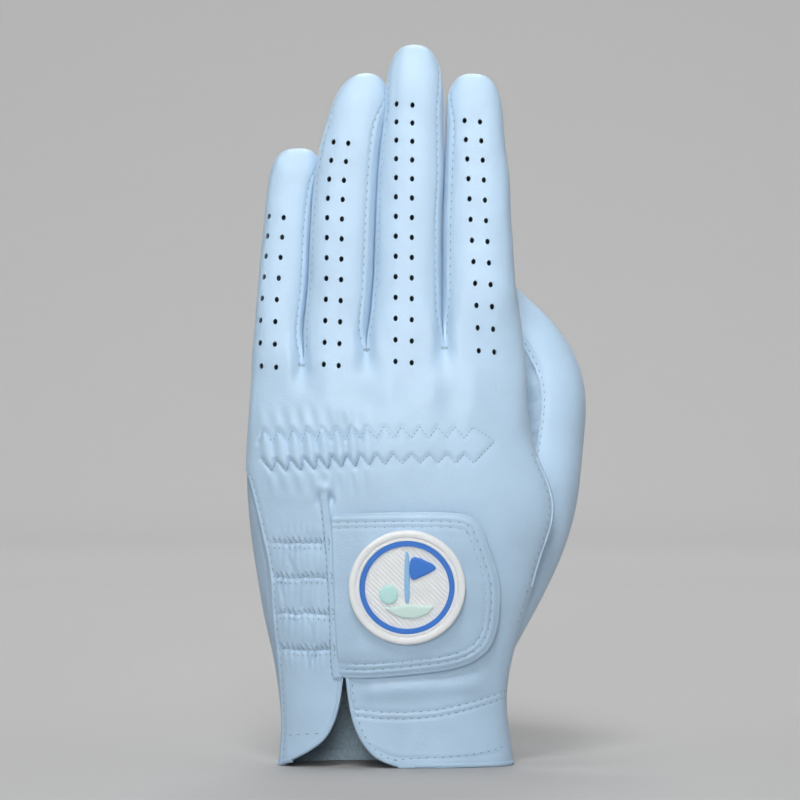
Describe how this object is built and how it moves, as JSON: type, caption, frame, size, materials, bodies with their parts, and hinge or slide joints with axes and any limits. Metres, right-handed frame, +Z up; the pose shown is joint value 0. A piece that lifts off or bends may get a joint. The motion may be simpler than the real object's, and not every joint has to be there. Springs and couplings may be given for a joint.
{
  "type": "golf glove",
  "caption": "Left-hand leather golf glove with perforated fingers, elasticated knuckles and wrist, and a hook-and-loop wrist tab with a round badge.",
  "frame": {"origin": "centre of the bounding box at the cuff's hem, where the glove stands", "axes": "+Z up along the fingers, -Y out of the back of the hand, +X towards the thumb"},
  "size_m": [0.1065, 0.0716, 0.2251],
  "materials": {
    "leather": "soft semi-gloss cabretta with a fine grain",
    "suede_lining": "matt napped flesh side",
    "loop": "matt brushed loop",
    "hook": "matt moulded hook tape",
    "elastic": "matt knitted elastic",
    "white_rubber": "satin moulded rubber",
    "blue_rubber": "satin moulded rubber",
    "light_blue_rubber": "satin moulded rubber",
    "aqua_rubber": "satin moulded rubber",
    "mint_rubber": "satin moulded rubber"
  },
  "bodies": {
    "hand": {"back_panel": "leather", "palm_panel": "leather", "knuckle_elastic": "elastic", "wrist_elastic_1": "elastic", "wrist_elastic_2": "elastic", "wrist_elastic_3": "elastic", "wrist_elastic_4": "elastic", "palm_cuff_facing": "suede_lining", "slit_binding": "leather", "cuff_band": "leather", "loop_patch": "loop", "thumb_base_back": "leather", "thumb_base_palm": "leather"},
    "tab": {"closure_tab": "leather", "tab_lining": "suede_lining", "hook_patch": "hook", "badge_base": "white_rubber", "badge_ring": "blue_rubber", "emblem_pole": "light_blue_rubber", "emblem_pennant": "blue_rubber", "emblem_ball": "aqua_rubber", "emblem_green": "mint_rubber"},
    "little": {"little_back": "leather", "little_palm": "leather", "little_fourchette_right": "leather"},
    "ring": {"ring_back": "leather", "ring_palm": "leather", "ring_fourchette_left": "leather", "ring_fourchette_right": "leather"},
    "middle": {"middle_back": "leather", "middle_palm": "leather", "middle_fourchette_left": "leather", "middle_fourchette_right": "leather"},
    "index": {"index_back": "leather", "index_palm": "leather", "index_fourchette_left": "leather"},
    "thumb": {"thumb_stall_back": "leather", "thumb_stall_palm": "leather"}
  },
  "joints": [
    {"name": "little_flex", "type": "hinge", "parent": "hand", "child": "little", "pos_m": [-0.04325, -0.00864, 0.12805], "axis": [-0.9974, 0, 0.0719], "range_deg": [0, 45]},
    {"name": "ring_flex", "type": "hinge", "parent": "hand", "child": "ring", "pos_m": [-0.02485, -0.00831, 0.13271], "axis": [-0.9972, 0, 0.0749], "range_deg": [0, 45]},
    {"name": "middle_flex", "type": "hinge", "parent": "hand", "child": "middle", "pos_m": [-0.00325, -0.00752, 0.13579], "axis": [-0.9997, 0, 0.0252], "range_deg": [0, 45]},
    {"name": "index_flex", "type": "hinge", "parent": "hand", "child": "index", "pos_m": [0.02095, -0.00752, 0.13695], "axis": [-0.9993, 0, -0.0364], "range_deg": [0, 35]},
    {"name": "thumb_straighten", "type": "hinge", "parent": "hand", "child": "thumb", "pos_m": [0.0464, 0.02109, 0.11781], "axis": [0.025, 0.9638, -0.2654], "range_deg": [0, 25]},
    {"name": "tab_hinge", "type": "hinge", "parent": "hand", "child": "tab", "pos_m": [-0.02645, -0.02758, 0.05365], "axis": [0, 0.1628, -0.9867], "range_deg": [0, 140]}
  ]
}
